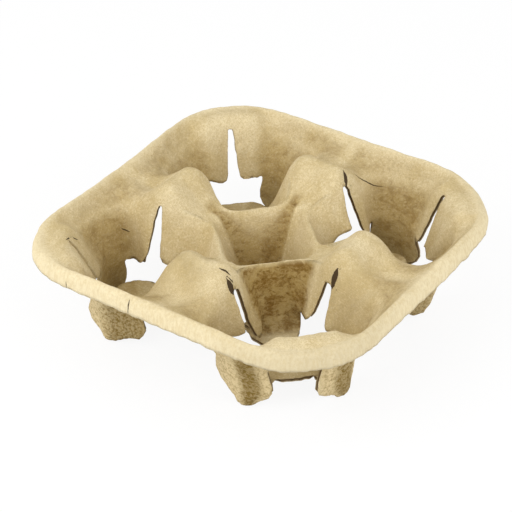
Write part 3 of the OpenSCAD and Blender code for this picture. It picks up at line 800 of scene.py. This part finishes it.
def fibre_group():
    """Fibres: thin crossing lines where two twisted noises pass through their middle, a fine grain, and
    slow patches."""
    outputs = [("Lines", FLOAT), ("Grain", FLOAT), ("Patches", FLOAT)]
    tree, ins, outs = group("fibres", [("Place", VECTOR)], outputs)
    g = Graph(tree)
    lines = 0.0
    for scale, twist in ((420.0, 1.6), (260.0, 2.2)):
        far = g.math("ABSOLUTE", g.math("SUBTRACT", g.noise(ins["Place"], scale, 2.0, 0.5, twist), 0.5))
        lines = g.math("MAXIMUM", g.step(far, 0.0, 0.05, 1.0, 0.0), lines)
    tree.links.new(lines, outs["Lines"])
    tree.links.new(g.noise(ins["Place"], 900.0, 3.0, 0.65), outs["Grain"])
    tree.links.new(g.noise(ins["Place"], 42.0, 5.0, 0.6, 0.4), outs["Patches"])
    return tree


def dirt_group():
    """Dirt, stains and painted shade: clouds that lie level, a sum of a coarse and a fine noise, and specks
    where the fine noise is high, both times the share."""
    inputs = [("Place", VECTOR), ("Share", FLOAT)]
    tree, ins, outs = group("dirt_and_shade", inputs, [("Clouds", FLOAT), ("Specks", FLOAT)])
    g = Graph(tree)
    flat = g.add("ShaderNodeMapping", {"Vector": ins["Place"], "Scale": (1.0, 1.0, 1.7)})
    clouds = g.noise(flat, 95.0, 6.0, 0.72, 0.5)
    fine = g.noise(flat, 330.0, 4.0, 0.7, 0.6)
    both = g.plus(g.times(clouds, 0.62), g.times(fine, 0.38))
    tree.links.new(g.times(g.step(both, 0.42, 0.60), ins["Share"]), outs["Clouds"])
    tree.links.new(g.times(g.step(fine, 0.58, 0.72), ins["Share"]), outs["Specks"])
    return tree


def rgb(r, g, b):
    """Opaque colour."""
    return (r, g, b, 1.0)


TAN, PALE, CREAM = rgb(0.60, 0.475, 0.25), rgb(0.73, 0.61, 0.375), rgb(0.82, 0.72, 0.49)
SHADE, UMBER, BROWN = rgb(0.36, 0.25, 0.085), rgb(0.29, 0.18, 0.03), rgb(0.17, 0.085, 0.01)
# The next line's third colour is the near black of cracks and of the painted shadow at the slits' ends
DARK, CRACK_AND_SHADOW_DARK, GREY = rgb(0.085, 0.042, 0.012), rgb(0.045, 0.024, 0.010), rgb(0.48, 0.40, 0.25)
PIT, FOOT_PALE, FOOT_DARK = rgb(0.34, 0.235, 0.085), rgb(0.76, 0.62, 0.36), rgb(0.21, 0.135, 0.03)
WHITE, FLOOR_WHITE = rgb(1, 1, 1), rgb(0.9, 0.9, 0.9)
WIRE_PITCH = 1.25
BUMP_STRENGTH, BUMP_DISTANCE = 0.65, 0.0012


def pulp_material():
    """Pulp: patches of tan and cream, painted shade low down, fibres, a lip painted paler as a highlight,
    brown dirt and stains with painted shade, stippled feet with brown faces partly painted shade, wire
    marks, cut edges darkened with painted shade, cracks and painted shadow at the slits' ends, each blended
    over the last by its share; the bump is a weighted sum of most."""
    material = bpy.data.materials.new("pulp")
    material.use_nodes = True
    g = Graph(material.node_tree)
    link = material.node_tree.links.new
    shader = material.node_tree.nodes["Principled BSDF"]
    place = g.add("ShaderNodeTexCoord", {}, "Object")
    lip, stain_and_shade, dirt_and_shade, stipple = g.mark("lip"), g.mark("stain_and_shade"), g.mark("dirt_and_shade"), g.mark("stipple")
    fibre = g.add("ShaderNodeGroup", {}, node_tree=fibre_group()).node.outputs
    link(place, fibre[0].node.inputs["Place"])
    soil_and_shade = g.add("ShaderNodeGroup", {}, node_tree=dirt_group()).node.outputs
    link(place, soil_and_shade[0].node.inputs["Place"])
    link(g.math("MAXIMUM", stain_and_shade, g.times(dirt_and_shade, 0.55)), soil_and_shade[0].node.inputs["Share"])

    # Pulp itself, with painted shade that darkens it low down
    z = g.add("ShaderNodeSeparateXYZ", {0: place}, 2)
    # Painted shade: darker below 60 mm and darkest below 20 mm, left off where the mark says
    deep = g.times(g.step(z, 0.020, 0.060, 1.0, 0.0), g.math("SUBTRACT", 1.0, g.mark("unshaded")))
    color = g.blend(g.step(fibre["Patches"], 0.34, 0.66), TAN, PALE)
    color = g.blend(g.times(deep, 0.5), color, SHADE)
    color = g.blend(g.times(fibre["Lines"], 0.34), color, SHADE)
    color = g.blend(g.step(fibre["Grain"], 0.5, 0.72, 0.0, 0.4), color, CREAM)
    color = g.blend(g.step(fibre["Grain"], 0.45, 0.28, 0.0, 0.35), color, SHADE)

    # Lip painted paler as a highlight, with upright streaks; greyer at the front: dirt and painted pucker
    # shadow
    tall = g.add("ShaderNodeMapping", {"Vector": place, "Scale": (1.0, 1.0, 0.2)})
    streaks = g.noise(tall, 760.0, 4.0, 0.65)
    lit_rim_color = g.blend(g.step(streaks, 0.36, 0.62), PALE, CREAM)
    color = g.blend(g.times(lip, 0.75), color, lit_rim_color)
    color = g.blend(g.times(g.mark("front_dirt_and_shadow"), 0.75), color, GREY)

    # Dirt and stains, with painted shade in the pockets, the rim's valley and the well's bottom
    color = g.blend(g.times(dirt_and_shade, 0.5), color, UMBER)
    color = g.blend(g.times(stain_and_shade, 0.72), color, UMBER)
    color = g.blend(g.times(soil_and_shade["Clouds"], 0.92), color, BROWN)
    color = g.blend(g.times(soil_and_shade["Specks"], 0.5), color, DARK)

    # Stippled feet with brown faces, partly painted shade
    pits = g.noise(place, 620.0, 4.0, 0.65, 0.3)
    foot_color = g.blend(g.step(pits, 0.30, 0.58), PIT, FOOT_PALE)
    color = g.blend(g.times(stipple, 0.75), color, foot_color)
    brown_and_shade = g.times(g.mark("brown_and_shade"), g.step(pits, 0.30, 0.60, 1.0, 0.55))
    color = g.blend(brown_and_shade, color, FOOT_DARK)

    # Wire marks: the greater of two sine waves, where the patches say and the grain lets them
    turns = [g.times(g.mark(name), 2 * math.pi / WIRE_PITCH) for name in ("wire_u", "wire_v")]
    threads = [g.math("SINE", turn) for turn in turns]
    wire = g.plus(g.times(g.math("MAXIMUM", *threads), 0.5), 0.5)
    wire = g.times(g.times(wire, g.mark("wire")), g.step(fibre["Grain"], 0.3, 0.6))
    color = g.blend(g.times(wire, 0.5), color, SHADE)

    # Cut edges darkened with painted shade, and cracks with the painted shadow at the slits' ends
    # Painted shade along the cut edges
    color = g.blend(g.step(g.mark("cut"), 0.25, 0.9, 0.0, 0.9), color, DARK)
    wobble = g.times(g.math("SUBTRACT", g.noise(place, 420.0, 3.0, 0.6), 0.5), 1.1)
    far = g.math("ABSOLUTE", g.plus(g.mark("crack_and_shadow"), wobble))
    wide = g.mark("crack_and_shadow_wide")
    crack_and_shadow = g.step(g.math("SUBTRACT", far, wide), -0.25, 0.05, 1.0, 0.0)
    crack_and_shadow = g.times(crack_and_shadow, g.step(wide, 0.05, 0.25))
    color = g.blend(g.times(crack_and_shadow, 0.96), color, CRACK_AND_SHADOW_DARK)

    height = g.plus(g.times(fibre["Grain"], 0.4), g.times(fibre["Lines"], -0.12))
    heights = [
        (g.noise(place, 210.0, 4.0, 0.6), 0.5), (g.times(pits, stipple), 1.6), (g.times(streaks, lip), 0.3),
        (soil_and_shade["Specks"], -0.3), (wire, -0.3), (crack_and_shadow, -0.8)]
    for value, share in heights:
        height = g.plus(height, g.times(value, share))
    bump = {"Strength": BUMP_STRENGTH, "Distance": BUMP_DISTANCE, "Height": height}
    link(g.add("ShaderNodeBump", bump), shader.inputs["Normal"])
    link(color, shader.inputs["Base Color"])
    shader.inputs["Roughness"].default_value = 0.92
    shader.inputs["Specular IOR Level"].default_value = 0.2
    return material


mesh.materials.append(pulp_material())
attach(pulp, "root")
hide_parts("carrier")


def floor_material():
    """White floor: it takes light and shadow, and what the camera sees of it is mostly an even glow."""
    material = bpy.data.materials.new("floor_white")
    material.use_nodes = True
    g = Graph(material.node_tree)
    shader = material.node_tree.nodes["Principled BSDF"]
    shader.inputs["Base Color"].default_value = FLOOR_WHITE
    shader.inputs["Roughness"].default_value = 1.0
    shader.inputs["Specular IOR Level"].default_value = 0.0
    glow = g.add("ShaderNodeEmission", {"Color": WHITE, "Strength": 1.0})
    shown = g.add("ShaderNodeMixShader", {0: g.times(g.seen(), 0.9), 1: shader.outputs[0], 2: glow})
    material.node_tree.links.new(shown, material.node_tree.nodes["Material Output"].inputs["Surface"])
    return material


# Floor and world
bpy.ops.mesh.primitive_plane_add(size=6)
floor = bpy.context.object
floor.name = "floor"
floor.data.materials.append(floor_material())

SKY_LIGHT, SKY_SEEN = 0.8, 1.0
scene = bpy.context.scene
scene.world = scene.world or bpy.data.worlds.new("world")
scene.world.use_nodes = True
background = scene.world.node_tree.nodes["Background"]
background.inputs["Color"].default_value = WHITE
sky = Graph(scene.world.node_tree)
strength = sky.step(sky.seen(), 0.0, 1.0, SKY_LIGHT, SKY_SEEN)
scene.world.node_tree.links.new(strength, background.inputs["Strength"])

# Lamps: name, power, size, place in metres, tilt and turn in degrees
LAMPS = [
    ("key", 7, 0.9, (-0.4, -0.8, 0.75), 50, -26.6),
    ("fill", 4, 0.7, (0.95, -0.1, 0.6), 58, 84),
]
for name, power, size, at, tilt, turn in LAMPS:
    light = bpy.data.lights.new(name, "AREA")
    light.energy = power
    light.size = size
    lamp = bpy.data.objects.new(name, light)
    lamp.location = at
    lamp.rotation_euler = (math.radians(tilt), 0, math.radians(turn))
    scene.collection.objects.link(lamp)

# Camera, fitted to the photo: direction, distance and target in metres, and the photo's middle in pixels
AZIMUTH, ELEVATION, DISTANCE = math.radians(33.82), math.radians(34.78), 0.9097
TARGET = np.array([0.0, 0.0, 0.044])
PHOTO_SIZE, MIDDLE_X, MIDDLE_Y = 512, 264.65, 242.41
towards_camera = np.array([
    math.cos(ELEVATION) * math.sin(AZIMUTH), -math.cos(ELEVATION) * math.cos(AZIMUTH), math.sin(ELEVATION)])
camera = bpy.data.cameras.new("camera")
camera.lens = 112.41
camera.sensor_width = 36
camera.shift_x = (PHOTO_SIZE / 2 - MIDDLE_X) / PHOTO_SIZE
camera.shift_y = (MIDDLE_Y - PHOTO_SIZE / 2) / PHOTO_SIZE
view = bpy.data.objects.new("camera", camera)
view.location = TARGET + DISTANCE * towards_camera
view.rotation_euler = (math.pi / 2 - ELEVATION, 0, AZIMUTH)
scene.collection.objects.link(view)
scene.camera = view
scene.view_settings.view_transform = "Standard"
